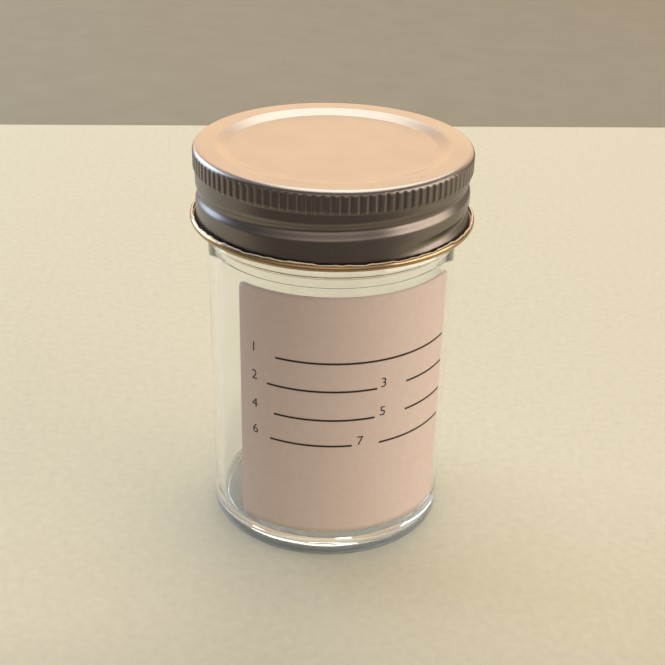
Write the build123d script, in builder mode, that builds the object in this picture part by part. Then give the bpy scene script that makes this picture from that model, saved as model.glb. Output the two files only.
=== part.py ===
from build123d import *
import math
import os

os.makedirs("parts", exist_ok=True)

# A clear moulded specimen jar with a pressed metal screw cap, a lined seal and a wrapped label.
# Lengths are in millimetres, angles in degrees. The origin is the centre of the foot, +Z is up,
# -Y is the front of the label, and angles about the axis run counter-clockwise from +X.

# Jar body and foot
body_base_radius = 19.1
body_draft = 0.29
body_height = 48.5
wall = 1.4
foot_recess = 1.0
foot_width = 2.0
foot_edge_radius = 0.4
floor_thickness = 1.8
floor_corner_radius = 0.4
gate_radius = 1.2
gate_height = 0.4

# Support bead, neck and mouth
bead_underside = 1.4
bead_flare_reach_share = 0.3
bead_flare_rise_share = 0.7
bead_height = 1.1
bead_projection = 0.5
bead_edge_radius = 0.25
neck_radius = 19.8
neck_wall = 1.5
neck_height = 10.9
bore_step_height = 0.15
bore_step_drop = 1.2
rim_edge_radius = 0.35

# Screw thread, shared by the jar's ridge and the cap's rolled groove
thread_pitch = 4.0
ridge_height = 0.9
ridge_half_width = 0.95
ridge_rooting = 0.4
ridge_end_depth = 0.1
ridge_start_angle = -10
ridge_end_angle = 400
ridge_fade_angle = 30
thread_gap = 0.2
section_step = 10
sections_per_piece = 6

# Cap, pressed from one sheet
sheet = 0.25
cap_gap = 0.3
skirt_clearance = 0.15
groove_depth = 0.5
groove_half_width = 1.0
groove_rise = 2.7
groove_end_clearance = 0.125
groove_start_angle = -75
groove_end_angle = 425
groove_fade_angle = 45
curl_radius = 0.6
curl_wrap = 220
knurl_projection = 0.3
knurl_height = 3.55
knurl_step = 0.45
flute_count = 104
flute_radius = 0.5
flute_depth = 0.2
flute_height = 3.2
top_corner_radius = 0.9
panel_recess = 0.7
panel_flat_radius = 16.0
panel_slope_width = 1.9
panel_bend_radius = 1.0

# Liner
board_thickness = 0.9
film_thickness = 0.1
liner_edge_gap = 0.1

# Label
label_width = 37.0
label_height = 41.5
label_lift = 4.8
label_offset_angle = 10.8
label_corner_radius = 1.0
corner_cut_oversize = 1.2
paper_thickness = 0.1
adhesive_thickness = 0.03

# Heights and radii worked out from the sizes above
draft_rate = math.tan(math.radians(body_draft))
floor_height = foot_recess + floor_thickness
bead_bottom = body_height + bead_underside
bead_top = bead_bottom + bead_height
rim_height = bead_top + neck_height
bead_radius = neck_radius + bead_projection
bore_radius = neck_radius - neck_wall
bore_step_top = body_height - bore_step_drop + bore_step_height
bore_step_bottom = body_height - bore_step_drop
ridge_radius = neck_radius + ridge_height

cap_bottom = bead_top + cap_gap
skirt_inner_radius = ridge_radius + skirt_clearance
skirt_radius = skirt_inner_radius + sheet
knurl_radius = skirt_radius + knurl_projection
knurl_inner_radius = knurl_radius - flute_depth - sheet
panel_underside = rim_height + film_thickness + board_thickness
cap_top = panel_underside + sheet
knurl_bottom = cap_top - knurl_height
flute_bottom = cap_top - flute_height
curl_height = cap_bottom + curl_radius
skirt_top = knurl_bottom - sheet
panel_rise_radius = panel_flat_radius + panel_slope_width
inner_corner_radius = top_corner_radius - sheet
inner_flat_bend = panel_bend_radius + sheet
inner_rise_bend = panel_bend_radius - sheet
liner_radius = knurl_inner_radius - inner_corner_radius - liner_edge_gap


def body_radius(height):
    """Outer radius of the tapered jar wall at a height above the foot."""
    return body_base_radius + height * draft_rate


def upright_plane(angle, height=0.0):
    """Plane through the axis: local x points outward at the angle, local y points up."""
    turn = math.radians(angle)
    outward = (math.cos(turn), math.sin(turn), 0)
    sideways = (math.sin(turn), -math.cos(turn), 0)
    return Plane(origin=(0, 0, height), x_dir=outward, z_dir=sideways)


def arc_radius(half_width, height):
    """Radius of the arc that spans two half widths and stands a height above them."""
    return (half_width**2 + height**2) / (2 * height)


def fade(angle, start, end, length):
    """0 at either end of a thread, 1 where it is fully formed, smooth between."""
    share = min(1.0, (angle - start) / length, (end - angle) / length)
    return math.sin(max(0.0, share) * math.pi / 2)


def section_angles(start, end):
    """Evenly spaced section angles from start to end, both included."""
    count = max(2, math.ceil((end - start) / section_step))
    return [start + (end - start) * index / count for index in range(count + 1)]


# Middle of the flared underside of the support bead
flare_width = bead_radius - body_radius(body_height)
flare_middle_radius = body_radius(body_height) + flare_width * bead_flare_reach_share
flare_middle_height = body_height + bead_underside * bead_flare_rise_share

# The cap's rolled groove and the bead that it forms inside are concentric arcs, and the jar's ridge
# lies above that bead with the thread gap between them.
groove_arc = arc_radius(groove_half_width, groove_depth)
bead_arc = groove_arc + sheet
ridge_arc = arc_radius(ridge_half_width, ridge_height)
groove_floor_radius = skirt_radius - groove_depth
groove_centre_radius = groove_floor_radius + groove_arc
ridge_centre_radius = ridge_radius - ridge_arc
arc_distance = bead_arc + ridge_arc + thread_gap
ridge_rise = math.sqrt(arc_distance**2 - (groove_centre_radius - ridge_centre_radius) ** 2)
groove_base_height = cap_bottom + groove_rise
ridge_base_height = groove_base_height + ridge_rise


# Thread ridge on the neck: round sections that sink into the wall at both ends
ridge_root = neck_radius - ridge_rooting
ridge_angles = section_angles(ridge_start_angle, ridge_end_angle)
ridge_pieces = []
for first in range(0, len(ridge_angles) - 1, sections_per_piece):
    with BuildPart() as piece:
        for angle in ridge_angles[first : first + sections_per_piece + 1]:
            formed = fade(angle, ridge_start_angle, ridge_end_angle, ridge_fade_angle)
            sunk = (1 - formed) * (ridge_height + ridge_end_depth)
            height = ridge_base_height + thread_pitch * angle / 360
            with BuildSketch(upright_plane(angle, height)):
                with BuildLine():
                    Polyline(
                        (neck_radius - sunk, -ridge_half_width),
                        (ridge_root - sunk, -ridge_half_width),
                        (ridge_root - sunk, ridge_half_width),
                        (neck_radius - sunk, ridge_half_width),
                    )
                    ThreePointArc(
                        (neck_radius - sunk, ridge_half_width),
                        (ridge_radius - sunk, 0),
                        (neck_radius - sunk, -ridge_half_width),
                    )
                make_face()
        loft()
    ridge_pieces.append(piece.part)

# Jar: outer form and bore in one turned profile, then the ridge
with BuildPart() as container_body:
    with BuildSketch(Plane.XZ) as jar_form:
        with BuildLine():
            Polyline(
                (0, 0),
                (body_radius(0), 0),
                (body_radius(body_height), body_height),
            )
            ThreePointArc(
                (body_radius(body_height), body_height),
                (flare_middle_radius, flare_middle_height),
                (bead_radius, bead_bottom),
            )
            Polyline(
                (bead_radius, bead_bottom),
                (bead_radius, bead_top),
                (neck_radius, bead_top),
                (neck_radius, rim_height),
                (0, rim_height),
                (0, 0),
            )
        make_face()
        foot_corner = jar_form.vertices().group_by(Axis.Y)[0].sort_by(Axis.X)[-1]
        fillet(foot_corner, radius=foot_edge_radius)
        bead_corners = jar_form.vertices().group_by(Axis.X)[-1]
        fillet(bead_corners, radius=bead_edge_radius)
        rim_corner = jar_form.vertices().group_by(Axis.Y)[-1].sort_by(Axis.X)[-1]
        fillet(rim_corner, radius=rim_edge_radius)
    revolve(axis=Axis.Z)
    with BuildSketch(Plane.XZ) as bore_form:
        with BuildLine():
            Polyline(
                (0, floor_height),
                (body_radius(floor_height) - wall, floor_height),
                (body_radius(bore_step_bottom) - wall, bore_step_bottom),
                (bore_radius, bore_step_top),
                (bore_radius, rim_height),
                (0, rim_height),
                (0, floor_height),
            )
        make_face()
        floor_corner = bore_form.vertices().group_by(Axis.Y)[0].sort_by(Axis.X)[-1]
        fillet(floor_corner, radius=floor_corner_radius)
    revolve(axis=Axis.Z, mode=Mode.SUBTRACT)
    with BuildSketch(Plane.XY):
        Circle(body_base_radius - foot_width)
    extrude(amount=foot_recess, mode=Mode.SUBTRACT)
    with BuildSketch(Plane.XY.offset(foot_recess)):
        Circle(gate_radius)
    extrude(amount=-gate_height)
    bore_edge = container_body.edges().filter_by(GeomType.CIRCLE).group_by(Axis.Z)[-1]
    fillet(bore_edge.sort_by(SortBy.RADIUS)[0], radius=rim_edge_radius)
    add(ridge_pieces)

container_body.part.label = "container_body"
export_step(container_body.part, "parts/container_body.step")


# Cap: rolled groove outside and the bead that it raises inside, both running out at their ends
def thread_pieces(arc, apex_radius, opening_radius):
    """Solids with a round nose at the apex radius that follow the cap's groove, end to end."""
    reach = opening_radius - apex_radius
    spread = math.sqrt(arc**2 - (arc - reach) ** 2)
    angles = section_angles(groove_start_angle, groove_end_angle)
    pieces = []
    for first in range(0, len(angles) - 1, sections_per_piece):
        with BuildPart() as piece:
            for angle in angles[first : first + sections_per_piece + 1]:
                formed = fade(angle, groove_start_angle, groove_end_angle, groove_fade_angle)
                shift = (1 - formed) * (groove_depth + groove_end_clearance)
                height = groove_base_height + thread_pitch * angle / 360
                with BuildSketch(upright_plane(angle, height)):
                    with BuildLine():
                        Line((opening_radius + shift, -spread), (opening_radius + shift, spread))
                        ThreePointArc(
                            (opening_radius + shift, spread),
                            (apex_radius + shift, 0),
                            (opening_radius + shift, -spread),
                        )
                    make_face()
            loft()
        pieces.append(piece.part)
    return pieces


groove_pieces = thread_pieces(groove_arc, groove_floor_radius, skirt_radius + sheet)
bead_pieces = thread_pieces(bead_arc, groove_floor_radius - sheet, skirt_inner_radius + sheet)

# Threaded skirt: a plain sleeve with the groove cut outside and the bead left standing inside
with BuildPart() as skirt_bore:
    with BuildSketch(Plane.XY.offset(curl_height)):
        Circle(skirt_inner_radius)
    extrude(amount=skirt_top - curl_height)
    add(bead_pieces, mode=Mode.SUBTRACT)

with BuildPart() as threaded_skirt:
    with BuildSketch(Plane.XY.offset(curl_height)):
        Circle(skirt_radius)
    extrude(amount=skirt_top - curl_height)
    add(groove_pieces, mode=Mode.SUBTRACT)
    add(skirt_bore.part, mode=Mode.SUBTRACT)

# One round-bottomed flute of the knurled band
flute_centre_radius = knurl_radius - flute_depth + flute_radius
with BuildPart() as flute:
    with BuildSketch(Plane.XY.offset(flute_bottom)):
        Circle(flute_radius)
    extrude(amount=cap_top - flute_bottom)
    with Locations((0, 0, flute_bottom)):
        Sphere(flute_radius)

# Cap: recessed panel and knurled band turned in one profile, then the skirt and its curled edge
with BuildPart() as cap_shell:
    with BuildSketch(Plane.XZ):
        with BuildLine():
            outer_line = FilletPolyline(
                (0, cap_top - panel_recess),
                (panel_flat_radius, cap_top - panel_recess),
                (panel_rise_radius, cap_top),
                (knurl_radius, cap_top),
                (knurl_radius, knurl_bottom + knurl_step),
                (skirt_radius, knurl_bottom),
                (skirt_radius, skirt_top),
                radius=[panel_bend_radius, panel_bend_radius, top_corner_radius, sheet, sheet],
            )
            inner_line = FilletPolyline(
                (0, panel_underside - panel_recess),
                (panel_flat_radius, panel_underside - panel_recess),
                (panel_rise_radius, panel_underside),
                (knurl_inner_radius, panel_underside),
                (knurl_inner_radius, knurl_bottom + knurl_step),
                (skirt_inner_radius, knurl_bottom),
                (skirt_inner_radius, skirt_top),
                radius=[inner_flat_bend, inner_rise_bend, inner_corner_radius, sheet, sheet],
            )
            Line(outer_line @ 1, inner_line @ 1)
            Line(outer_line @ 0, inner_line @ 0)
        make_face()
    revolve(axis=Axis.Z)
    with PolarLocations(flute_centre_radius, flute_count):
        add(flute.part, mode=Mode.SUBTRACT)
    add(threaded_skirt.part)
    with BuildSketch(Plane.XZ):
        curl_centre = (skirt_inner_radius + curl_radius, curl_height)
        with BuildLine():
            curl_outside = CenterArc(curl_centre, curl_radius, 180, curl_wrap)
            curl_inside = CenterArc(curl_centre, curl_radius - sheet, 180, curl_wrap)
            Line(curl_outside @ 0, curl_inside @ 0)
            Line(curl_outside @ 1, curl_inside @ 1)
        make_face()
    revolve(axis=Axis.Z)

cap_shell.part.label = "cap_shell"
export_step(cap_shell.part, "parts/cap_shell.step")


def dished_line(height):
    """Line from the axis to the liner's edge that follows the panel's underside."""
    return FilletPolyline(
        (0, height - panel_recess),
        (panel_flat_radius, height - panel_recess),
        (panel_rise_radius, height),
        (liner_radius, height),
        radius=[inner_flat_bend, inner_rise_bend],
    )


def liner_disc(bottom, thickness):
    """Round liner layer, dished under the recessed panel, with its flat rim at the given height."""
    with BuildPart() as disc:
        with BuildSketch(Plane.XZ):
            with BuildLine():
                under_line = dished_line(bottom)
                over_line = dished_line(bottom + thickness)
                Line(under_line @ 1, over_line @ 1)
                Line(over_line @ 0, under_line @ 0)
            make_face()
        revolve(axis=Axis.Z)
    return disc.part


cap_liner_film = liner_disc(rim_height, film_thickness)
cap_liner_film.label = "cap_liner_film"
export_step(cap_liner_film, "parts/cap_liner_film.step")

cap_liner_board = liner_disc(rim_height + film_thickness, board_thickness)
cap_liner_board.label = "cap_liner_board"
export_step(cap_liner_board, "parts/cap_liner_board.step")


# Label: two thin layers wrapped on the tapered wall, with rounded corners
label_middle_radius = body_radius(label_lift + label_height / 2)
label_sweep_angle = math.degrees(label_width / label_middle_radius)
label_start_angle = -90 + label_offset_angle - label_sweep_angle / 2
label_top = label_lift + label_height
corner_turn = math.degrees(label_corner_radius / label_middle_radius)


def tangent_plane(angle, height):
    """Plane through the axis that faces outward at the angle: local x points round, y points up."""
    turn = math.radians(angle)
    return Plane(
        origin=(0, 0, height),
        x_dir=(-math.sin(turn), math.cos(turn), 0),
        z_dir=(math.cos(turn), math.sin(turn), 0),
    )


def wrapped_layer(stand_off, thickness):
    """Layer of the label that starts a stand-off outside the jar's wall."""
    with BuildPart() as layer:
        with BuildSketch(upright_plane(label_start_angle)):
            with BuildLine():
                Polyline(
                    (body_radius(label_lift) + stand_off, label_lift),
                    (body_radius(label_lift) + stand_off + thickness, label_lift),
                    (body_radius(label_top) + stand_off + thickness, label_top),
                    (body_radius(label_top) + stand_off, label_top),
                    close=True,
                )
            make_face()
        revolve(axis=Axis.Z, revolution_arc=label_sweep_angle)
        for side, up in ((-1, -1), (-1, 1), (1, -1), (1, 1)):
            end_angle = label_start_angle + label_sweep_angle * (1 + side) / 2
            end_height = label_lift + label_height * (1 + up) / 2
            corner_plane = tangent_plane(
                end_angle - side * corner_turn, end_height - up * label_corner_radius
            )
            square = corner_cut_oversize * label_corner_radius
            with BuildSketch(corner_plane):
                with Locations((side * square / 2, up * square / 2)):
                    Rectangle(square, square)
                Circle(label_corner_radius, mode=Mode.SUBTRACT)
            extrude(amount=body_base_radius * 2, mode=Mode.SUBTRACT)
    return layer.part


label_adhesive = wrapped_layer(0, adhesive_thickness)
label_adhesive.label = "label_adhesive"
export_step(label_adhesive, "parts/label_adhesive.step")

label_paper = wrapped_layer(adhesive_thickness, paper_thickness)
label_paper.label = "label_paper"
export_step(label_paper, "parts/label_paper.step")
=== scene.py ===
import math

import bpy
import numpy as np
from mathutils import Matrix, Vector


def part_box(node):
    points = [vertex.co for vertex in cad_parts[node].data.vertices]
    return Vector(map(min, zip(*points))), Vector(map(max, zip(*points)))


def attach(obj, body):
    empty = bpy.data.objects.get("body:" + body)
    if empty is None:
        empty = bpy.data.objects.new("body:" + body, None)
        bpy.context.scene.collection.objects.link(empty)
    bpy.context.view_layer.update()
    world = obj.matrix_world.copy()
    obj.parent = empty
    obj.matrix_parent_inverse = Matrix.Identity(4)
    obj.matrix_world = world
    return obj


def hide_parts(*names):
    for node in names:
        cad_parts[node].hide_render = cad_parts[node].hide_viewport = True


# A clear specimen jar with a pressed metal screw cap and a wrapped write-on label.
# Shapes are written in millimetres and scaled to metres where a mesh is made. Heights and radii
# that the frame knows are read from it.
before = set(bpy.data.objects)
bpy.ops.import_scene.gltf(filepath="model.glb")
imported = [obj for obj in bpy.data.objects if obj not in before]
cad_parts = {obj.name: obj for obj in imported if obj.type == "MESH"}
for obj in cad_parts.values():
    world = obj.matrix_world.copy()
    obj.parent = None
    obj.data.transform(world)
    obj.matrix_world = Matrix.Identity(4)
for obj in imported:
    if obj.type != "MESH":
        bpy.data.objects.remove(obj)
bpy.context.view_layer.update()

MM = 0.001


def node_span(node):
    """Lowest and highest corner of a node of the frame, in millimetres."""
    low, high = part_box(node)
    return [value / MM for value in low], [value / MM for value in high]


cap_low, cap_high = node_span("cap_shell")
jar_low, jar_high = node_span("container_body")
label_low, label_high = node_span("label_paper")
board_low, board_high = node_span("cap_liner_board")
film_low, film_high = node_span("cap_liner_film")

CAP_TOP = cap_high[2]
CAP_BOTTOM = cap_low[2]
CURL_OUTER_RADIUS = cap_high[0]
RIM_HEIGHT = jar_high[2]
RIDGE_RADIUS = jar_high[0]
LABEL_BOTTOM = label_low[2]
LABEL_TOP = label_high[2]
LINER_RADIUS = board_high[0]

# Jar
BODY_BASE_RADIUS = 19.1
BODY_DRAFT = math.tan(math.radians(0.29))
WALL = 1.4
FOOT_RECESS = 1.0
FOOT_WIDTH = 2.0
FOOT_EDGE = 0.4
FOOT_INNER_EDGE = 0.12
FOOT_ROOT_EDGE = 0.15
FLOOR_HEIGHT = 2.8
FLOOR_CORNER = 0.4
GATE_RADIUS = 1.2
GATE_HEIGHT = 0.4
GATE_EDGE = 0.15
BODY_HEIGHT = 48.5
FLARE_REACH = 0.3
FLARE_RISE = 0.7
BEAD_RADIUS = 20.3
BEAD_BOTTOM = 49.9
BEAD_TOP = 51.0
BEAD_EDGE = 0.25
BEAD_ROOT_EDGE = 0.06
NECK_RADIUS = 19.8
NECK_ROOT_EDGE = 0.12
BORE_RADIUS = 18.3
BORE_STEP_BOTTOM = 47.3
BORE_STEP_TOP = 47.45
BORE_STEP_EDGE = 0.05
RIM_EDGE = 0.35
JAR_COLUMNS = 256
WALL_SPACING = 2.0
RIDGE_SPACING = 0.2

# Screw thread, one right-hand helix for the jar's ridge and the cap's groove
PITCH = 4.0
GROOVE_BASE = 54.0
GROOVE_DEPTH = 0.5
GROOVE_HALF_WIDTH = 1.45
GROOVE_START = -75.0
GROOVE_END = 425.0
GROOVE_FADE = 45.0
RIDGE_RISE = 1.62
RIDGE_HALF_WIDTH = 1.1
RIDGE_START = -10.0
RIDGE_END = 400.0
RIDGE_FADE = 30.0
RIDGE_FULLNESS = 0.8

# Cap
SHEET = 0.25
SKIRT_RADIUS = 21.1
KNURL_RADIUS = 21.4
KNURL_BOTTOM = CAP_TOP - 3.55
KNURL_STEP = 0.45
KNURL_BEND = 0.35
FLUTE_COUNT = 104
FLUTE_DEPTH = 0.2
FLUTE_WIDTH_SHARE = 0.64
FLUTE_TOP = CAP_TOP - 0.55
FLUTE_BOTTOM = CAP_TOP - 3.5
FLUTE_END_ROUND = 0.35
FLUTE_FOOT_RUN = 0.3
FLUTE_HEAD_RUN = 0.4
TOP_CORNER = 0.9
PRESSED_CORNER_SHARE = 0.45
PANEL_RECESS = 0.7
PANEL_FLAT_RADIUS = 16.0
PANEL_RISE_RADIUS = 17.9
PANEL_BEND = 1.0
CURL_RADIUS = 0.6
CURL_WRAP = 252.0
CURL_STEPS = 26
CAP_COLUMNS = FLUTE_COUNT * 10
DISC_SPACING = 2.5
TOP_SPACINGS = [DISC_SPACING, 0.5, 0.6]
SIDE_SPACINGS = [0.13, 0.13, 0.16]

# Cut edge of the sheet at the end of the curl. Each wave is its count round the cap and its size in
# degrees of roll. The edge lifts a little where it reaches furthest.
EDGE_WAVES = ((2, 4.0), (5, 3.5), (11, 3.5), (23, 4.0), (47, 3.5), (83, 2.5))
EDGE_SEED = 7
EDGE_LIFT = 0.006
EDGE_LIFT_POWER = 10
# Rows of the roll's outside before the cut that carry the bright edge finish as a painted highlight
EDGE_HIGHLIGHT_ROWS = 2

# Label
LABEL_START = -134.0
LABEL_SWEEP = 109.6
LABEL_CORNER = 1.0
ADHESIVE = 0.03
PAPER = 0.1
FILM = 0.1
INK = 0.015
RULE_WIDTH = 0.34
NUMERAL_SIZE = 2.3
RULES = [
    (-24.2, 64.5, 35.4), (-28.5, 22.5, 30.6), (37.8, 65.0, 30.6), (-25.0, 21.8, 25.6),
    (38.0, 65.0, 25.6), (-27.0, 11.5, 21.0), (24.5, 65.2, 20.9),
]
NUMERALS = [
    (-37.3, 35.5), (-37.0, 30.7), (24.0, 30.7), (-37.0, 25.7), (24.0, 25.7), (-36.8, 21.1),
    (13.5, 21.0),
]


def body_radius(height):
    """Outer radius of the tapered jar wall."""
    return BODY_BASE_RADIUS + height * BODY_DRAFT


# Profiles


def fill_straight(path, end, spacing):
    """Adds points to a path up to an end, no further apart than the spacing."""
    start = path[-1]
    count = max(1, math.ceil(np.linalg.norm(end - start) / spacing))
    for step in range(1, count + 1):
        path.append(start + (end - start) * step / count)


def rounded_path(points, radii, spacings):
    """Points along a polyline with rounded corners. Each straight has its own spacing."""
    path = [np.array(points[0], float)]
    for index, radius in enumerate(radii, start=1):
        corner = np.array(points[index], float)
        before = np.array(points[index - 1], float) - corner
        after = np.array(points[index + 1], float) - corner
        before = before / np.linalg.norm(before)
        after = after / np.linalg.norm(after)
        opening = math.acos(max(-1.0, min(1.0, float(before @ after))))
        reach = radius / math.tan(opening / 2)
        middle = before + after
        centre = corner + middle / np.linalg.norm(middle) * radius / math.sin(opening / 2)
        start = corner + before * reach - centre
        end = corner + after * reach - centre
        fill_straight(path, centre + start, spacings[index - 1])
        turn = math.atan2(start[0] * end[1] - start[1] * end[0], float(start @ end))
        steps = max(3, math.ceil(abs(turn) / math.radians(9)))
        for step in range(1, steps + 1):
            angle = turn * step / steps
            rotated = (
                start[0] * math.cos(angle) - start[1] * math.sin(angle),
                start[0] * math.sin(angle) + start[1] * math.cos(angle),
            )
            path.append(centre + np.array(rotated))
    fill_straight(path, np.array(points[-1], float), spacings[-1])
    return np.array(path)


def path_normals(path):
    """Unit normals of a path, to its left."""
    along = np.gradient(path, axis=0)
    along = along / np.linalg.norm(along, axis=1)[:, None]
    return np.stack([-along[:, 1], along[:, 0]], axis=1)


def smooth_step(value):
    """0 below 0, 1 above 1, smooth between."""
    value = np.clip(value, 0.0, 1.0)
    return value * value * (3 - 2 * value)


def helix_bump(angles, heights, base, half_width, start, end, fade):
    """Rounded bump that follows the screw's helix: 1 on its crest, 0 beside it and past its ends."""
    total = np.zeros(np.broadcast(angles, heights).shape)
    for lap in range(-1, 3):
        turned = angles + 360.0 * lap
        crest = base + PITCH * turned / 360.0
        beside = np.clip(np.abs(heights - crest) / half_width, 0, 1)
        formed = smooth_step((turned - start) / fade) * smooth_step((end - turned) / fade)
        total = np.maximum(total, formed * (1 + np.cos(math.pi * beside)) / 2)
    return total


# Meshes


def turned_mesh(name, radii, heights):
    """Mesh of revolution and the row of each face, from arrays of radius and height with one row
    per profile point and one column per angle. A row of radius 0 becomes one point on the axis."""
    rows, columns = radii.shape
    angles = np.arange(columns) * 2 * math.pi / columns
    vertices = []
    row_index = []
    for row in range(rows):
        if np.max(radii[row]) < 1e-6:
            row_index.append([len(vertices)] * columns)
            vertices.append((0.0, 0.0, float(heights[row, 0])))
            continue
        first = len(vertices)
        row_index.append(list(range(first, first + columns)))
        xs = radii[row] * np.cos(angles)
        ys = radii[row] * np.sin(angles)
        vertices += list(zip(xs.tolist(), ys.tolist(), heights[row].tolist()))
    faces = []
    face_rows = []
    for row in range(rows - 1):
        lower = row_index[row]
        upper = row_index[row + 1]
        for column in range(columns):
            beside = (column + 1) % columns
            corners = [lower[column], lower[beside], upper[beside], upper[column]]
            face = list(dict.fromkeys(corners))
            if len(face) > 2:
                faces.append(face)
                face_rows.append(row)
    mesh = bpy.data.meshes.new(name)
    mesh.from_pydata([tuple(MM * value for value in point) for point in vertices], [], faces)
    mesh.validate()
    mesh.polygons.foreach_set("use_smooth", [True] * len(mesh.polygons))
    mesh.update()
    return mesh, face_rows


def add_piece(name, mesh, body, nodes, materials):
    """Object for a finished mesh that rides on a body and stands for nodes of the frame."""
    piece = bpy.data.objects.new(name, mesh)
    bpy.context.scene.collection.objects.link(piece)
    for material in materials:
        mesh.materials.append(material)
    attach(piece, body)
    if nodes:
        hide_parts(*nodes)


# Jar


def arc_through(start, middle, end, steps):
    """Points of the arc through three points, the first left out."""
    (ax, ay), (bx, by), (cx, cy) = start, middle, end
    spread = 2 * (ax * (by - cy) + bx * (cy - ay) + cx * (ay - by))
    squares = [x * x + y * y for x, y in (start, middle, end)]
    centre_x = (squares[0] * (by - cy) + squares[1] * (cy - ay) + squares[2] * (ay - by)) / spread
    centre_y = (squares[0] * (cx - bx) + squares[1] * (ax - cx) + squares[2] * (bx - ax)) / spread
    radius = math.hypot(ax - centre_x, ay - centre_y)
    first = math.atan2(ay - centre_y, ax - centre_x)
    last = math.atan2(cy - centre_y, cx - centre_x)
    turn = (last - first + math.pi) % (2 * math.pi) - math.pi
    angles = [first + turn * step / steps for step in range(1, steps + 1)]
    return [(centre_x + radius * math.cos(a), centre_y + radius * math.sin(a)) for a in angles]


def jar_profile():
    """Outline of the jar's wall, from the middle of its underside over the rim to its floor."""
    body_top = (body_radius(BODY_HEIGHT), BODY_HEIGHT)
    flare_end = (BEAD_RADIUS, BEAD_BOTTOM)
    flare_middle = (
        body_top[0] + (BEAD_RADIUS - body_top[0]) * FLARE_REACH,
        body_top[1] + (BEAD_BOTTOM - body_top[1]) * FLARE_RISE,
    )
    lower = rounded_path(
        [
            (0, FOOT_RECESS - GATE_HEIGHT),
            (GATE_RADIUS, FOOT_RECESS - GATE_HEIGHT),
            (GATE_RADIUS, FOOT_RECESS),
            (BODY_BASE_RADIUS - FOOT_WIDTH, FOOT_RECESS),
            (BODY_BASE_RADIUS - FOOT_WIDTH, 0),
            (BODY_BASE_RADIUS, 0),
            body_top,
        ],
        [GATE_EDGE, GATE_EDGE, FOOT_ROOT_EDGE, FOOT_INNER_EDGE, FOOT_EDGE],
        [WALL_SPACING] * 6,
    )
    flare = arc_through(body_top, flare_middle, flare_end, 10)
    upper = rounded_path(
        [
            flare[-2],
            flare_end,
            (BEAD_RADIUS, BEAD_TOP),
            (NECK_RADIUS, BEAD_TOP),
            (NECK_RADIUS, RIM_HEIGHT),
            (BORE_RADIUS, RIM_HEIGHT),
            (BORE_RADIUS, BORE_STEP_TOP),
            (body_radius(BORE_STEP_BOTTOM) - WALL, BORE_STEP_BOTTOM),
            (body_radius(FLOOR_HEIGHT) - WALL, FLOOR_HEIGHT),
            (0, FLOOR_HEIGHT),
        ],
        [
            BEAD_ROOT_EDGE, BEAD_EDGE, NECK_ROOT_EDGE, RIM_EDGE, RIM_EDGE,
            BORE_STEP_EDGE, BORE_STEP_EDGE, FLOOR_CORNER,
        ],
        [WALL_SPACING] * 3 + [RIDGE_SPACING] + [WALL_SPACING] * 5,
    )
    return np.vstack([lower, flare[:-2], upper])


def make_jar():
    """The clear jar, with the thread ridge standing on its neck."""
    profile = jar_profile()
    angles = np.arange(JAR_COLUMNS) * 360.0 / JAR_COLUMNS
    radii = np.repeat(profile[:, :1], JAR_COLUMNS, axis=1)
    heights = np.repeat(profile[:, 1:], JAR_COLUMNS, axis=1)
    on_neck = np.abs(profile[:, 0] - NECK_RADIUS) < 0.01
    ridge = helix_bump(
        angles[None, :], heights, GROOVE_BASE + RIDGE_RISE, RIDGE_HALF_WIDTH,
        RIDGE_START, RIDGE_END, RIDGE_FADE,
    )
    radii += on_neck[:, None] * (RIDGE_RADIUS - NECK_RADIUS) * ridge**RIDGE_FULLNESS
    mesh, _ = turned_mesh("jar", radii, heights)
    add_piece(
        "jar", mesh, "container", ["container_body"], [clear_polystyrene()]
    )


# Cap


def edge_waver():
    """Uneven reach of the sheet's cut edge round the curl, one value per column, in degrees."""
    draw = np.random.RandomState(EDGE_SEED)
    angles = np.arange(CAP_COLUMNS) * 2 * math.pi / CAP_COLUMNS
    waver = np.zeros(CAP_COLUMNS)
    for waves, size in EDGE_WAVES:
        waver += size * np.sin(waves * angles + draw.uniform(0, 2 * math.pi))
    return waver


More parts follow.
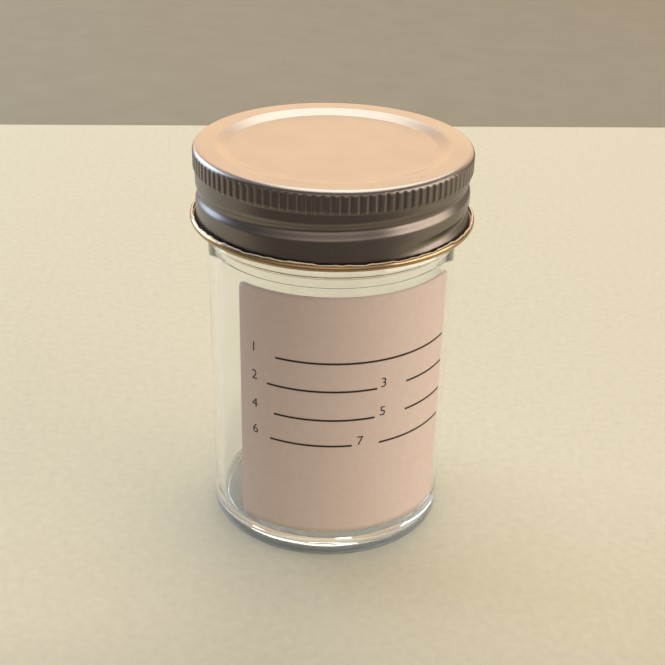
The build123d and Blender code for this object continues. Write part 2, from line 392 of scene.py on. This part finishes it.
def make_cap():
    """The pressed cap: outside, curled edge and inside as one closed sheet."""
    half = SHEET / 2
    wall_line = rounded_path(
        [
            (0, CAP_TOP - PANEL_RECESS - half),
            (PANEL_FLAT_RADIUS, CAP_TOP - PANEL_RECESS - half),
            (PANEL_RISE_RADIUS, CAP_TOP - half),
            (KNURL_RADIUS - half, CAP_TOP - half),
            (KNURL_RADIUS - half, KNURL_BOTTOM + KNURL_STEP),
            (SKIRT_RADIUS - half, KNURL_BOTTOM),
            (SKIRT_RADIUS - half, CAP_BOTTOM + CURL_RADIUS),
        ],
        [PANEL_BEND, PANEL_BEND, TOP_CORNER - half, KNURL_BEND, KNURL_BEND],
        TOP_SPACINGS + SIDE_SPACINGS,
    )
    normals = path_normals(wall_line)
    angles = np.arange(CAP_COLUMNS) * 360.0 / CAP_COLUMNS
    heights = wall_line[:, 1:]
    on_side = wall_line[:, 0] > KNURL_RADIUS - half - TOP_CORNER * PRESSED_CORNER_SHARE
    beside_flute = (angles * FLUTE_COUNT / 360.0 + 0.5) % 1.0 - 0.5
    flute_share = np.clip(beside_flute / FLUTE_WIDTH_SHARE, -0.5, 0.5)
    flute_wave = (1 + np.cos(2 * math.pi * flute_share)) / 2
    rounded_end = FLUTE_END_ROUND * (1 - flute_wave)[None, :]
    fluted = smooth_step((heights - FLUTE_BOTTOM - rounded_end) / FLUTE_FOOT_RUN)
    fluted = fluted * smooth_step((FLUTE_TOP - heights) / FLUTE_HEAD_RUN)
    groove = helix_bump(
        angles[None, :], heights, GROOVE_BASE, GROOVE_HALF_WIDTH,
        GROOVE_START, GROOVE_END, GROOVE_FADE,
    )
    pressed = FLUTE_DEPTH * fluted * flute_wave[None, :] + GROOVE_DEPTH * groove
    pressed = pressed * on_side[:, None]

    curl_centre = SKIRT_RADIUS - SHEET + CURL_RADIUS
    share = np.arange(1, CURL_STEPS + 1)[:, None] / CURL_STEPS
    waver = edge_waver()[None, :]
    curl_angle = np.radians(180.0 + share * (CURL_WRAP + waver))
    curl_line = CURL_RADIUS - half + EDGE_LIFT * waver * share**EDGE_LIFT_POWER
    curl_radii = curl_centre + curl_line * np.cos(curl_angle)
    curl_heights = CAP_BOTTOM + CURL_RADIUS + curl_line * np.sin(curl_angle)

    def side(offset):
        """Radii and heights of the sheet's surface at an offset from its middle."""
        radii = wall_line[:, :1] + normals[:, :1] * offset - pressed
        rises = wall_line[:, 1:] + normals[:, 1:] * offset + 0 * pressed
        radii[0] = 0
        radii = np.vstack([radii, curl_radii - offset * np.cos(curl_angle)])
        rises = np.vstack([rises, curl_heights - offset * np.sin(curl_angle)])
        return radii, rises

    outer_radii, outer_heights = side(half)
    inner_radii, inner_heights = side(-half)
    mesh, rows = turned_mesh(
        "cap",
        np.vstack([inner_radii, outer_radii[::-1]]),
        np.vstack([inner_heights, outer_heights[::-1]]),
    )
    edge_row = len(inner_radii) - 1
    # The cut face and the last rows of the roll's outside before it take the bright edge finish:
    # bare metal on the cut face, painted highlight along the roll beside it.
    finish = [1 if row < edge_row - EDGE_HIGHLIGHT_ROWS else 2 if row <= edge_row else 0 for row in rows]
    finishes = [cap_outside(), cap_lacquer(), cap_edge()]
    add_piece("cap", mesh, "cap", ["cap_shell"], finishes)
    mesh.polygons.foreach_set("material_index", finish)
    mesh.update()


# Liner


def make_liner_disc(name, node, bottom, thickness, material):
    """One layer of the liner, dished under the cap's recessed panel."""
    points = [
        (0, bottom - PANEL_RECESS),
        (PANEL_FLAT_RADIUS, bottom - PANEL_RECESS),
        (PANEL_RISE_RADIUS, bottom),
        (LINER_RADIUS, bottom),
        (LINER_RADIUS, bottom + thickness),
        (PANEL_RISE_RADIUS, bottom + thickness),
        (PANEL_FLAT_RADIUS, bottom + thickness - PANEL_RECESS),
        (0, bottom + thickness - PANEL_RECESS),
    ]
    edge = thickness / 4
    bends = [PANEL_BEND + SHEET, PANEL_BEND - SHEET]
    profile = rounded_path(points, bends + [edge, edge] + bends[::-1], [DISC_SPACING] * 7)
    radii = np.repeat(profile[:, :1], JAR_COLUMNS, axis=1)
    heights = np.repeat(profile[:, 1:], JAR_COLUMNS, axis=1)
    mesh, _ = turned_mesh(name, radii, heights)
    add_piece(name, mesh, "liner", [node], [material])


# Label


def arc_point(radius, angle, height):
    """A point round the jar's axis, in metres."""
    turn = math.radians(angle)
    return (MM * radius * math.cos(turn), MM * radius * math.sin(turn), MM * height)


def wrapped_outline(start, end, bottom, top, corner):
    """Columns of an upright sheet with rounded corners: an angle, a lowest and a highest point."""
    corner_turn = math.degrees(corner / body_radius((bottom + top) / 2))
    columns = []
    steps = 8
    for step in range(steps + 1):
        share = (step / steps) ** 1.5
        rise = corner * (1 - math.sqrt(max(0.0, 1 - (1 - share) ** 2)))
        columns.append((start + share * corner_turn, bottom + rise, top - rise))
    middle = math.ceil(end - start)
    for step in range(1, middle):
        share = step / middle
        angle = start + corner_turn + share * (end - start - 2 * corner_turn)
        columns.append((angle, bottom, top))
    return columns + [(start + end - angle, low, high) for angle, low, high in columns[steps::-1]]


def wrapped_mesh(name, columns, inner, thickness):
    """Closed sheet that lies on the jar's tapered wall, from its columns."""
    levels = 44
    faces = []
    vertices = []
    for lift in (inner + thickness, inner):
        for angle, low, high in columns:
            for level in range(levels + 1):
                height = low + (high - low) * level / levels
                vertices.append(arc_point(body_radius(height) + lift, angle, height))
    side = len(columns) * (levels + 1)

    def at(layer, column, level):
        """Number of one of the sheet's vertices."""
        return layer * side + column * (levels + 1) + level

    last = len(columns) - 1
    for column in range(last):
        for level in range(levels):
            square = [
                (column, level), (column + 1, level), (column + 1, level + 1), (column, level + 1)
            ]
            faces.append([at(0, *corner) for corner in square])
            faces.append([at(1, *corner) for corner in square[::-1]])
        low_edge = [at(1, column, 0), at(1, column + 1, 0), at(0, column + 1, 0), at(0, column, 0)]
        turn_round = ((0, column), (0, column + 1), (1, column + 1), (1, column))
        high_edge = [at(layer, beside, levels) for layer, beside in turn_round]
        faces += [low_edge, high_edge]
    for level in range(levels):
        faces.append([at(1, 0, level), at(0, 0, level), at(0, 0, level + 1), at(1, 0, level + 1)])
        faces.append(
            [at(0, last, level), at(1, last, level), at(1, last, level + 1), at(0, last, level + 1)]
        )
    mesh = bpy.data.meshes.new(name)
    mesh.from_pydata(vertices, [], faces)
    mesh.validate()
    mesh.polygons.foreach_set("use_smooth", [len(face) == 4 for face in faces])
    mesh.update()
    return mesh


def make_label():
    """The paper label with its adhesive coat. Its print is made apart."""
    columns = wrapped_outline(
        LABEL_START, LABEL_START + LABEL_SWEEP, LABEL_BOTTOM, LABEL_TOP, LABEL_CORNER
    )
    coat = wrapped_mesh("label_coat", columns, 0, ADHESIVE)
    add_piece("label_coat", coat, "container", ["label_adhesive"], [adhesive()])
    sheet = wrapped_mesh("label_sheet", columns, ADHESIVE, PAPER)
    add_piece("label_sheet", sheet, "container", ["label_paper"], [paper()])


def printed(height):
    """Radius of the ink's face at a height."""
    return body_radius(height) + ADHESIVE + PAPER + INK


def make_rule(name, start, end, height, ink):
    """A printed writing line, between two angles from the front."""
    count = max(2, math.ceil((end - start) / 2))
    vertices = []
    for step in range(count + 1):
        angle = start + (end - start) * step / count - 90
        for side in (-RULE_WIDTH / 2, RULE_WIDTH / 2):
            vertices.append(arc_point(printed(height), angle, height + side))
    faces = [[2 * step, 2 * step + 2, 2 * step + 3, 2 * step + 1] for step in range(count)]
    mesh = bpy.data.meshes.new(name)
    mesh.from_pydata(vertices, [], faces)
    mesh.update()
    add_piece(name, mesh, "container", [], [ink])


def make_numeral(name, number, start, height, ink):
    """A printed line number, its left edge at an angle from the front."""
    text = bpy.data.curves.new(name, "FONT")
    text.body = str(number)
    text.size = NUMERAL_SIZE
    text.resolution_u = 4
    holder = bpy.data.objects.new(name, text)
    mesh = bpy.data.meshes.new_from_object(holder)
    bpy.data.objects.remove(holder)
    bpy.data.curves.remove(text)
    for vertex in mesh.vertices:
        rise = height + vertex.co.y
        turn = math.degrees(vertex.co.x / printed(rise))
        vertex.co = arc_point(printed(rise), start + turn - 90, rise)
    mesh.name = name
    mesh.update()
    add_piece(name, mesh, "container", [], [ink])


def make_print():
    """Writing lines with plain numbers beside them."""
    ink = label_ink()
    for index, (start, end, height) in enumerate(RULES, start=1):
        make_rule("label_rule_{}".format(index), start, end, height, ink)
    for index, (start, height) in enumerate(NUMERALS, start=1):
        make_numeral("label_number_{}".format(index), index, start, height, ink)


# Materials


def new_material(name):
    """Empty node material with its output node."""
    material = bpy.data.materials.new(name)
    material.use_nodes = True
    tree = material.node_tree
    tree.nodes.clear()
    tree.nodes.new("ShaderNodeOutputMaterial").name = "output"
    return material, tree


def add_node(tree, kind, **inputs):
    """Node of a kind with some of its inputs set."""
    node = tree.nodes.new(kind)
    for key, value in inputs.items():
        node.inputs[key.replace("_", " ")].default_value = value
    return node


def add_noise(tree, scale, detail=2.0):
    """Noise over the object's own coordinates. Scale is in cells per metre."""
    place = tree.nodes.new("ShaderNodeTexCoord")
    noise = add_node(tree, "ShaderNodeTexNoise", Scale=scale, Detail=detail)
    tree.links.new(place.outputs["Object"], noise.inputs["Vector"])
    return noise


def add_range(tree, source, low, high):
    """Maps a value from 0 to 1 onto low to high."""
    spread = add_node(tree, "ShaderNodeMapRange", To_Min=low, To_Max=high)
    tree.links.new(source, spread.inputs["Value"])
    return spread.outputs["Result"]


def add_colours(tree, source, stops):
    """Colour ramp over a value. Stops are pairs of a position and a linear colour."""
    ramp = tree.nodes.new("ShaderNodeValToRGB")
    elements = ramp.color_ramp.elements
    elements[0].position, elements[0].color = stops[0][0], (*stops[0][1], 1)
    elements[1].position, elements[1].color = stops[-1][0], (*stops[-1][1], 1)
    for position, colour in stops[1:-1]:
        elements.new(position).color = (*colour, 1)
    tree.links.new(source, ramp.inputs["Fac"])
    return ramp.outputs["Color"]


def add_bump(tree, source, strength, distance):
    """Bump from a value, its distance in metres."""
    bump = add_node(tree, "ShaderNodeBump", Strength=strength, Distance=distance)
    tree.links.new(source, bump.inputs["Height"])
    return bump.outputs["Normal"]


# Painted shade: the plastic's colour is darkened on the foot and underside so the table seen under
# the jar reads as shaded. It is full below the first height and gone above the second.
FOOT_PAINTED_SHADE = (0.47, 0.52, 0.59)
FOOT_SHADE_FULL = FOOT_RECESS + 0.05
FOOT_SHADE_GONE = FOOT_RECESS + 0.35
SHADOW_TINT = (0.67, 0.70, 0.73)


def clear_polystyrene():
    """Clear moulded plastic that lets the lamps through. Its foot and underside are greyed darker as
    painted shade, standing for the shaded table under the jar.
    """
    material, tree = new_material("clear_polystyrene")
    plastic = add_node(tree, "ShaderNodeBsdfPrincipled", IOR=1.59)
    plastic.inputs["Transmission Weight"].default_value = 1.0
    ripple = add_noise(tree, 90.0, 1.0)
    haze = add_noise(tree, 600.0, 3.0)
    tree.links.new(add_range(tree, haze.outputs["Fac"], 0.0, 0.015), plastic.inputs["Roughness"])
    tint = add_colours(
        tree, ripple.outputs["Fac"], [(0.3, (0.955, 0.97, 0.965)), (0.7, (0.985, 0.99, 0.985))]
    )
    place = tree.nodes.new("ShaderNodeTexCoord")
    split = tree.nodes.new("ShaderNodeSeparateXYZ")
    tree.links.new(place.outputs["Object"], split.inputs["Vector"])
    # Painted shade: darker base colour on the foot and underside
    above_foot_shade = tree.nodes.new("ShaderNodeMapRange")
    above_foot_shade.inputs["From Min"].default_value = MM * FOOT_SHADE_FULL
    above_foot_shade.inputs["From Max"].default_value = MM * FOOT_SHADE_GONE
    tree.links.new(split.outputs["Z"], above_foot_shade.inputs["Value"])
    blend = tree.nodes.new("ShaderNodeMix")
    blend.data_type = "RGBA"
    blend.inputs["A"].default_value = (*FOOT_PAINTED_SHADE, 1)
    tree.links.new(above_foot_shade.outputs["Result"], blend.inputs["Factor"])
    tree.links.new(tint, blend.inputs["B"])
    tree.links.new(blend.outputs["Result"], plastic.inputs["Base Color"])
    tree.links.new(add_bump(tree, ripple.outputs["Fac"], 0.05, 0.0002), plastic.inputs["Normal"])
    through = add_node(tree, "ShaderNodeBsdfTransparent", Color=(*SHADOW_TINT, 1))
    path = tree.nodes.new("ShaderNodeLightPath")
    mix = tree.nodes.new("ShaderNodeMixShader")
    tree.links.new(path.outputs["Is Shadow Ray"], mix.inputs["Fac"])
    tree.links.new(plastic.outputs["BSDF"], mix.inputs[1])
    tree.links.new(through.outputs["BSDF"], mix.inputs[2])
    tree.links.new(mix.outputs["Shader"], tree.nodes["output"].inputs["Surface"])
    return material


def surface(name, colours, colour_scale, roughness, bump, metallic=0.0, detail=3.0):
    """Opaque material whose colour, roughness and relief vary with noise. The relief is given as
    the scale of its noise, its strength and its distance."""
    material, tree = new_material(name)
    body = add_node(tree, "ShaderNodeBsdfPrincipled", Metallic=metallic)
    broad = add_noise(tree, colour_scale, detail)
    fine = add_noise(tree, bump[0])
    low, high = colours
    tint = add_colours(tree, broad.outputs["Fac"], [(0.3, low), (0.7, high)])
    tree.links.new(tint, body.inputs["Base Color"])
    tree.links.new(add_range(tree, fine.outputs["Fac"], *roughness), body.inputs["Roughness"])
    tree.links.new(add_bump(tree, fine.outputs["Fac"], bump[1], bump[2]), body.inputs["Normal"])
    tree.links.new(body.outputs["BSDF"], tree.nodes["output"].inputs["Surface"])
    return material


# Upward share of a surface's normal where the side's darker tone of painted shade ends and the top's
# paler tone of painted light begins
SHADED_SIDE_FACING = 0.5
LIT_TOP_FACING = 0.8


def cap_outside():
    """Tinned sheet with a brown grey lacquer, painted paler where it faces up as painted light and
    darker on its sides as painted shade.
    """
    material, tree = new_material("cap_outside")
    lacquer = add_node(tree, "ShaderNodeBsdfPrincipled", Metallic=1.0)
    broad = add_noise(tree, 130.0, 3.0)
    fine = add_noise(tree, 2500.0)
    # Painted shade and painted light: a darker side copy and a paler top copy of one lacquer,
    # blended by how far the surface faces up
    side = add_colours(
        tree, broad.outputs["Fac"], [(0.3, (0.183, 0.163, 0.153)), (0.7, (0.205, 0.184, 0.173))]
    )
    top = add_colours(
        tree, broad.outputs["Fac"], [(0.3, (0.45, 0.41, 0.37)), (0.7, (0.49, 0.447, 0.405))]
    )
    facing = tree.nodes.new("ShaderNodeNewGeometry")
    split = tree.nodes.new("ShaderNodeSeparateXYZ")
    tree.links.new(facing.outputs["Normal"], split.inputs["Vector"])
    lit_top_share = tree.nodes.new("ShaderNodeMapRange")
    lit_top_share.interpolation_type = "SMOOTHSTEP"
    lit_top_share.inputs["From Min"].default_value = SHADED_SIDE_FACING
    lit_top_share.inputs["From Max"].default_value = LIT_TOP_FACING
    tree.links.new(split.outputs["Z"], lit_top_share.inputs["Value"])
    blend = tree.nodes.new("ShaderNodeMix")
    blend.data_type = "RGBA"
    tree.links.new(lit_top_share.outputs["Result"], blend.inputs["Factor"])
    tree.links.new(side, blend.inputs["A"])
    tree.links.new(top, blend.inputs["B"])
    tree.links.new(blend.outputs["Result"], lacquer.inputs["Base Color"])
    tree.links.new(add_range(tree, fine.outputs["Fac"], 0.27, 0.35), lacquer.inputs["Roughness"])
    tree.links.new(add_bump(tree, fine.outputs["Fac"], 0.06, 0.00002), lacquer.inputs["Normal"])
    tree.links.new(lacquer.outputs["BSDF"], tree.nodes["output"].inputs["Surface"])
    return material


def cap_lacquer():
    """Gold lacquer of the cap's inside and its curled edge."""
    return surface(
        "cap_lacquer", ((0.36, 0.25, 0.135), (0.43, 0.305, 0.17)), 160.0,
        (0.2, 0.28), (2500.0, 0.04, 0.00002), metallic=1.0,
    )


def cap_edge():
    """Bare cut edge of the sheet, in a bright cream that also serves as a painted highlight on the
    roll beside it.
    """
    return surface(
        "cap_edge", ((0.88, 0.74, 0.56), (0.96, 0.84, 0.68)), 900.0,
        (0.35, 0.5), (2500.0, 0.2, 0.00003), metallic=0.5,
    )


def paper():
    """Uncoated label stock."""
    return surface(
        "label_stock", ((0.625, 0.522, 0.475), (0.655, 0.55, 0.503)), 900.0,
        (0.55, 0.75), (5200.0, 0.25, 0.00004), detail=5.0,
    )


def adhesive():
    """Adhesive coat, seen through the jar from behind."""
    return surface(
        "adhesive_coat", ((0.62, 0.55, 0.44), (0.68, 0.61, 0.50)), 400.0,
        (0.35, 0.5), (1800.0, 0.2, 0.00003),
    )


def label_ink():
    """Black printing ink."""
    return surface(
        "label_ink", ((0.010, 0.009, 0.008), (0.02, 0.018, 0.016)), 3000.0,
        (0.6, 0.8), (6000.0, 0.1, 0.00001),
    )


def board():
    """Grey pulpboard."""
    return surface(
        "liner_pulpboard", ((0.50, 0.44, 0.35), (0.62, 0.56, 0.46)), 1400.0,
        (0.75, 0.9), (3000.0, 0.5, 0.0001), detail=6.0,
    )


def film():
    """White facing film of the liner."""
    return surface(
        "liner_facing", ((0.76, 0.75, 0.72), (0.82, 0.81, 0.78)), 300.0,
        (0.2, 0.3), (900.0, 0.1, 0.00003),
    )


def stage_surface(name, low, high):
    """Plain matt material of the floor."""
    return surface(name, (low, high), 60.0, (0.6, 0.7), (900.0, 0.05, 0.0001))


# Object

make_jar()
make_cap()
make_liner_disc(
    "liner_pad", "cap_liner_board", film_high[2], board_high[2] - film_high[2], board()
)
make_liner_disc(
    "liner_face", "cap_liner_film", film_high[2] - FILM, FILM, film()
)
make_label()
make_print()


# Studio


def stage_sheet(name, corners, material):
    """Flat sheet from its corners, part of the stage."""
    mesh = bpy.data.meshes.new(name)
    mesh.from_pydata(corners, [], [list(range(len(corners)))])
    mesh.materials.append(material)
    mesh.update()
    sheet = bpy.data.objects.new(name, mesh)
    bpy.context.scene.collection.objects.link(sheet)


def table_surface():
    """Pale matt table top with painted shade that darkens it evenly towards its front, out of the
    camera's view, so that the cap's sides reflect a dark floor.
    """
    material, tree = new_material("table_top")
    top = add_node(tree, "ShaderNodeBsdfPrincipled", Roughness=TABLE_ROUGHNESS)
    cloud = add_noise(tree, TABLE_GRAIN, 6.0)
    pale = add_colours(tree, cloud.outputs["Fac"], [(0.3, TABLE_PALE), (0.7, TABLE_PALER)])
    place = tree.nodes.new("ShaderNodeTexCoord")
    split = tree.nodes.new("ShaderNodeSeparateXYZ")
    tree.links.new(place.outputs["Object"], split.inputs["Vector"])
    near = tree.nodes.new("ShaderNodeMapRange")
    near.interpolation_type = "SMOOTHSTEP"
    near.inputs["From Min"].default_value = TABLE_FULL_SHADE_Y
    near.inputs["From Max"].default_value = TABLE_PALE_Y
    tree.links.new(split.outputs["Y"], near.inputs["Value"])
    blend = tree.nodes.new("ShaderNodeMix")
    blend.data_type = "RGBA"
    blend.inputs["A"].default_value = (*TABLE_PAINTED_SHADE, 1)
    tree.links.new(near.outputs["Result"], blend.inputs["Factor"])
    tree.links.new(pale, blend.inputs["B"])
    tree.links.new(blend.outputs["Result"], top.inputs["Base Color"])
    tree.links.new(top.outputs["BSDF"], tree.nodes["output"].inputs["Surface"])
    return material


TABLE_EDGE = 0.2094
TABLE_EDGE_SLANT = 0.063
TABLE_REACH = 1.5
FLOOR_DROP = 0.02
TABLE_PALE = (0.635, 0.602, 0.462)
TABLE_PALER = (0.69, 0.655, 0.505)
# Painted shade colour of the table's front
TABLE_PAINTED_SHADE = (0.16, 0.145, 0.12)
TABLE_ROUGHNESS = 0.65
TABLE_GRAIN = 650.0
# Where the table's painted shade is full and where it is gone
TABLE_FULL_SHADE_Y = -0.095
TABLE_PALE_Y = -0.033
stage_sheet(
    "table_top",
    [
        (-TABLE_REACH, -TABLE_REACH, 0),
        (TABLE_REACH, -TABLE_REACH, 0),
        (TABLE_REACH, TABLE_EDGE + TABLE_REACH * TABLE_EDGE_SLANT, 0),
        (-TABLE_REACH, TABLE_EDGE - TABLE_REACH * TABLE_EDGE_SLANT, 0),
    ],
    table_surface(),
)
stage_sheet(
    "back_floor",
    [
        (-2 * TABLE_REACH, 0, -FLOOR_DROP),
        (2 * TABLE_REACH, 0, -FLOOR_DROP),
        (2 * TABLE_REACH, 2 * TABLE_REACH, -FLOOR_DROP),
        (-2 * TABLE_REACH, 2 * TABLE_REACH, -FLOOR_DROP),
    ],
    stage_surface("back_floor", (0.26, 0.236, 0.176), (0.28, 0.254, 0.19)),
)


def add_lamp(name, place, target, width, length, power, colour):
    """Soft rectangular lamp that looks at a target, its length upright or pointing backwards."""
    light = bpy.data.lights.new(name, "AREA")
    light.shape = "RECTANGLE"
    light.size = width
    light.size_y = length
    light.energy = power
    light.color = colour
    lamp = bpy.data.objects.new(name, light)
    lamp.location = place
    lamp.rotation_euler = (Vector(target) - Vector(place)).to_track_quat("-Z", "Y").to_euler()
    bpy.context.scene.collection.objects.link(lamp)


add_lamp(
    "key", place=(0.08, 0.36, 1.0), target=(0, 0, 0.03), width=0.85, length=1.3,
    power=7.4, colour=(1.0, 0.955, 0.88),
)
add_lamp(
    "side", place=(0.9, -0.2, 0.2), target=(0, 0, 0.02), width=1.0, length=0.7,
    power=8.2, colour=(1.0, 0.86, 0.7),
)
add_lamp(
    "window", place=(-0.7, 0.45, 0.3), target=(0, 0, 0.03), width=0.55, length=0.55,
    power=4.8, colour=(0.6, 0.76, 1.0),
)


# Colours of the surroundings at the object's height, from the front to the back, and overhead
WORLD_STRENGTH = 1.0
WORLD_TOP = (0.19, 0.172, 0.15)
WORLD_LEVEL = [
    (0.0, (1.3, 1.1, 0.95)), (0.15, (0.6, 0.52, 0.46)), (0.35, (0.2, 0.19, 0.185)),
    (0.5, (0.17, 0.165, 0.16)), (0.8, (0.55, 0.45, 0.35)), (1.0, (1.85, 1.29, 0.82)),
]
WORLD_LEVEL_END = 0.25
WORLD_TOP_START = 0.95


def studio_world():
    """Soft surroundings: warm and bright behind the object, paler in front, dim above and beside."""
    world = bpy.data.worlds.new("studio")
    world.use_nodes = True
    bpy.context.scene.world = world
    tree = world.node_tree
    background = tree.nodes["Background"]
    place = tree.nodes.new("ShaderNodeTexCoord")
    split = tree.nodes.new("ShaderNodeSeparateXYZ")
    tree.links.new(place.outputs["Generated"], split.inputs["Vector"])
    depth = tree.nodes.new("ShaderNodeMapRange")
    depth.inputs["From Min"].default_value = -1.0
    tree.links.new(split.outputs["Y"], depth.inputs["Value"])
    level = add_colours(tree, depth.outputs["Result"], WORLD_LEVEL)
    height = tree.nodes.new("ShaderNodeMapRange")
    height.interpolation_type = "SMOOTHSTEP"
    height.inputs["From Min"].default_value = WORLD_LEVEL_END
    height.inputs["From Max"].default_value = WORLD_TOP_START
    tree.links.new(split.outputs["Z"], height.inputs["Value"])
    blend = tree.nodes.new("ShaderNodeMix")
    blend.data_type = "RGBA"
    tree.links.new(height.outputs["Result"], blend.inputs["Factor"])
    tree.links.new(level, blend.inputs["A"])
    blend.inputs["B"].default_value = (*WORLD_TOP, 1)
    tree.links.new(blend.outputs["Result"], background.inputs["Color"])
    background.inputs["Strength"].default_value = WORLD_STRENGTH


studio_world()

bpy.context.scene.view_settings.view_transform = "Standard"

# Light that is guided along the clear wall and the floor of the jar turns back many times.
bpy.context.scene.cycles.max_bounces = 24
bpy.context.scene.cycles.glossy_bounces = 16
bpy.context.scene.cycles.transmission_bounces = 16

CAMERA_PLACE = (0.0, -0.17287, 0.11982)
CAMERA_PITCH = 0.476
CAMERA_YAW = 0.003
CAMERA_ROLL = 0.0246
CAMERA_LENS = 64.21
CAMERA_SENSOR = 36.0
CAMERA_CLIP = 0.01
forward = Vector((
    math.sin(CAMERA_YAW) * math.cos(CAMERA_PITCH),
    math.cos(CAMERA_YAW) * math.cos(CAMERA_PITCH),
    -math.sin(CAMERA_PITCH),
))
level_right = Vector((math.cos(CAMERA_YAW), -math.sin(CAMERA_YAW), 0))
level_up = level_right.cross(forward)
camera_right = level_right * math.cos(CAMERA_ROLL) + level_up * math.sin(CAMERA_ROLL)
camera_up = level_up * math.cos(CAMERA_ROLL) - level_right * math.sin(CAMERA_ROLL)
camera = bpy.data.objects.new("camera", bpy.data.cameras.new("camera"))
camera.data.lens = CAMERA_LENS
camera.data.sensor_width = CAMERA_SENSOR
camera.data.clip_start = CAMERA_CLIP
turned = Matrix((camera_right, camera_up, -forward)).transposed().to_4x4()
camera.matrix_world = Matrix.Translation(CAMERA_PLACE) @ turned
bpy.context.scene.collection.objects.link(camera)
bpy.context.scene.camera = camera
